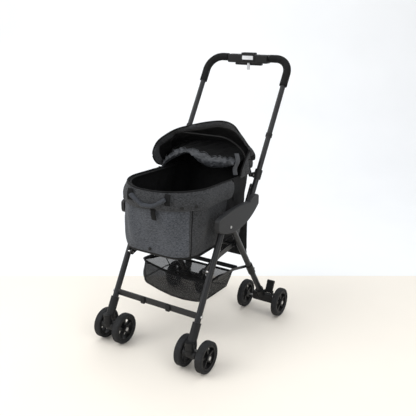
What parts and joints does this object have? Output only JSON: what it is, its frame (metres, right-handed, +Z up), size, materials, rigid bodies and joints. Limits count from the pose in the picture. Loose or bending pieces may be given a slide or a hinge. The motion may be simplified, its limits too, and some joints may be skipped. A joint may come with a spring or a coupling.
{
  "type": "pet stroller",
  "caption": "Folding pet stroller: soft cabin with an opening hood on a tube frame with swivel front casters, a handle and a mesh basket.",
  "frame": {"origin": "on the ground under the middle of the whole stroller", "axes": "+Z up, +Y towards the handle, +X to the right of someone facing the stroller's front from ahead"},
  "size_m": [0.5446, 0.7476, 1.018],
  "materials": {
    "frame_tube": "satin black powder coat",
    "frame_plastic": "fine textured black",
    "cover_plastic": "satin black",
    "steel": "bright zinc",
    "foam": "closed-cell foam",
    "tyre": "matt",
    "wheel_plastic": "moulded black",
    "tongue_plastic": "light grey",
    "cabin_fabric": "heather charcoal melange",
    "lining_fabric": "black nylon",
    "webbing": "black webbing",
    "mesh": "black open mesh",
    "board": "hard board"
  },
  "bodies": {
    "upper_frame": {"handle_tube": "frame_tube", "grips": "foam", "handle_box_lower": "frame_plastic", "handle_box_upper": "frame_plastic", "tube_clamps": "frame_plastic", "pivot_bars": "frame_tube", "frame_rivets": "steel", "seat_tube": "frame_tube", "cabin_shell": "cabin_fabric", "floor_board": "board", "cabin_skirt": "cabin_fabric", "grab_handle": "webbing", "rear_pocket": "cabin_fabric", "hood_shell": "cabin_fabric"},
    "side_covers": {"side_cover_right": "cover_plastic", "side_cover_left": "cover_plastic", "hinge_plates": "frame_tube", "hinge_pins": "steel", "pin_caps": "steel"},
    "front_legs": {"front_legs": "frame_tube", "leg_sleeves": "frame_plastic", "front_cross_bar": "frame_tube", "cross_bar_clips": "frame_plastic", "front_leg_pins": "steel", "basket": "mesh"},
    "rear_legs": {"rear_legs": "frame_tube", "rear_housings": "frame_plastic", "rear_axles": "steel", "leg_brackets": "frame_plastic", "basket_rails": "frame_tube", "rear_cross_tube": "frame_tube", "pedal_pins": "steel"},
    "lower_links": {"lower_links": "frame_tube"},
    "hood": {"hood_bow": "frame_plastic"},
    "fold_lever": {"fold_lever": "frame_plastic"},
    "safety_tongue": {"safety_tongue": "tongue_plastic"},
    "caster_right": {"caster_body_right": "frame_plastic", "front_axle_right": "steel"},
    "front_right_outer_wheel": {"front_right_outer_tyre": "tyre", "front_right_outer_hub": "wheel_plastic"},
    "rear_right_outer_wheel": {"rear_right_outer_tyre": "tyre", "rear_right_outer_hub": "wheel_plastic"},
    "front_right_inner_wheel": {"front_right_inner_tyre": "tyre", "front_right_inner_hub": "wheel_plastic"},
    "rear_right_inner_wheel": {"rear_right_inner_tyre": "tyre", "rear_right_inner_hub": "wheel_plastic"},
    "pedal_right": {"brake_pedal_right": "frame_plastic"},
    "bolt_right": {"brake_bolt_right": "steel"},
    "caster_left": {"caster_body_left": "frame_plastic", "front_axle_left": "steel"},
    "front_left_outer_wheel": {"front_left_outer_tyre": "tyre", "front_left_outer_hub": "wheel_plastic"},
    "rear_left_outer_wheel": {"rear_left_outer_tyre": "tyre", "rear_left_outer_hub": "wheel_plastic"},
    "front_left_inner_wheel": {"front_left_inner_tyre": "tyre", "front_left_inner_hub": "wheel_plastic"},
    "rear_left_inner_wheel": {"rear_left_inner_tyre": "tyre", "rear_left_inner_hub": "wheel_plastic"},
    "pedal_left": {"brake_pedal_left": "frame_plastic"},
    "bolt_left": {"brake_bolt_left": "steel"}
  },
  "joints": [
    {"name": "frame_fold", "type": "hinge", "parent": "upper_frame", "child": "side_covers", "pos_m": [0, 0.05344, 0.505], "axis": [1, 0, 0], "range_deg": [-25, 0], "deforming": ["basket"]},
    {"name": "front_leg_fold", "type": "hinge", "parent": "side_covers", "child": "front_legs", "pos_m": [0, -0.13639, 0.47], "axis": [1, 0, 0], "range_deg": [0, 25]},
    {"name": "rear_leg_fold", "type": "hinge", "parent": "side_covers", "child": "rear_legs", "pos_m": [0, -0.08589, 0.455], "axis": [1, 0, 0], "range_deg": [-25, 0]},
    {"name": "lower_link_fold", "type": "hinge", "parent": "upper_frame", "child": "lower_links", "pos_m": [0, -0.03522, 0.362], "axis": [1, 0, 0], "range_deg": [-25, 0]},
    {"name": "hood_turn", "type": "hinge", "parent": "upper_frame", "child": "hood", "pos_m": [0, 0.08421, 0.6], "axis": [1, 0, 0], "range_deg": [0, 45], "deforming": ["hood_shell"]},
    {"name": "lever_squeeze", "type": "slide", "parent": "upper_frame", "child": "fold_lever", "axis": [0, 0, 1], "range_m": [0, 0.006], "stiffness_N_per_m": 300, "springref_m": -0.003},
    {"name": "tongue_slide", "type": "slide", "parent": "upper_frame", "child": "safety_tongue", "axis": [1, 0, 0], "range_m": [0, 0.01], "stiffness_N_per_m": 60, "springref_m": -0.004},
    {"name": "caster_swivel_right", "type": "hinge", "parent": "front_legs", "child": "caster_right", "pos_m": [0.181, -0.35379, 0.09], "axis": [0, 0, 1], "continuous": true},
    {"name": "front_right_outer_wheel_roll", "type": "hinge", "parent": "caster_right", "child": "front_right_outer_wheel", "pos_m": [0.2235, -0.31678, 0.057], "axis": [1, 0, 0], "continuous": true},
    {"name": "rear_right_outer_wheel_roll", "type": "hinge", "parent": "rear_legs", "child": "rear_right_outer_wheel", "pos_m": [0.258, 0.18121, 0.057], "axis": [1, 0, 0], "continuous": true},
    {"name": "front_right_inner_wheel_roll", "type": "hinge", "parent": "caster_right", "child": "front_right_inner_wheel", "pos_m": [0.1385, -0.31678, 0.057], "axis": [1, 0, 0], "continuous": true},
    {"name": "rear_right_inner_wheel_roll", "type": "hinge", "parent": "rear_legs", "child": "rear_right_inner_wheel", "pos_m": [0.104, 0.18121, 0.057], "axis": [1, 0, 0], "continuous": true},
    {"name": "brake_right", "type": "hinge", "parent": "rear_legs", "child": "pedal_right", "pos_m": [0.203, 0.19421, 0.082], "axis": [1, 0, 0], "range_deg": [-30, 0]},
    {"name": "bolt_slide_right", "type": "slide", "parent": "rear_legs", "child": "bolt_right", "axis": [1, 0, 0], "range_m": [0, 0.0035]},
    {"name": "caster_swivel_left", "type": "hinge", "parent": "front_legs", "child": "caster_left", "pos_m": [-0.181, -0.35379, 0.09], "axis": [0, 0, 1], "continuous": true},
    {"name": "front_left_outer_wheel_roll", "type": "hinge", "parent": "caster_left", "child": "front_left_outer_wheel", "pos_m": [-0.2235, -0.31678, 0.057], "axis": [1, 0, 0], "continuous": true},
    {"name": "rear_left_outer_wheel_roll", "type": "hinge", "parent": "rear_legs", "child": "rear_left_outer_wheel", "pos_m": [-0.258, 0.18121, 0.057], "axis": [1, 0, 0], "continuous": true},
    {"name": "front_left_inner_wheel_roll", "type": "hinge", "parent": "caster_left", "child": "front_left_inner_wheel", "pos_m": [-0.1385, -0.31678, 0.057], "axis": [1, 0, 0], "continuous": true},
    {"name": "rear_left_inner_wheel_roll", "type": "hinge", "parent": "rear_legs", "child": "rear_left_inner_wheel", "pos_m": [-0.104, 0.18121, 0.057], "axis": [1, 0, 0], "continuous": true},
    {"name": "brake_left", "type": "hinge", "parent": "rear_legs", "child": "pedal_left", "pos_m": [-0.203, 0.19421, 0.082], "axis": [1, 0, 0], "range_deg": [-30, 0]},
    {"name": "bolt_slide_left", "type": "slide", "parent": "rear_legs", "child": "bolt_left", "axis": [-1, 0, 0], "range_m": [0, 0.0035]}
  ],
  "couplings": [
    {"joint": "front_leg_fold", "follows": "frame_fold", "ratio": -1},
    {"joint": "rear_leg_fold", "follows": "frame_fold", "ratio": 1},
    {"joint": "lower_link_fold", "follows": "frame_fold", "ratio": 1},
    {"joint": "bolt_slide_right", "follows": "brake_right", "m_per_rad": -0.0066},
    {"joint": "bolt_slide_left", "follows": "brake_left", "m_per_rad": -0.0066}
  ]
}
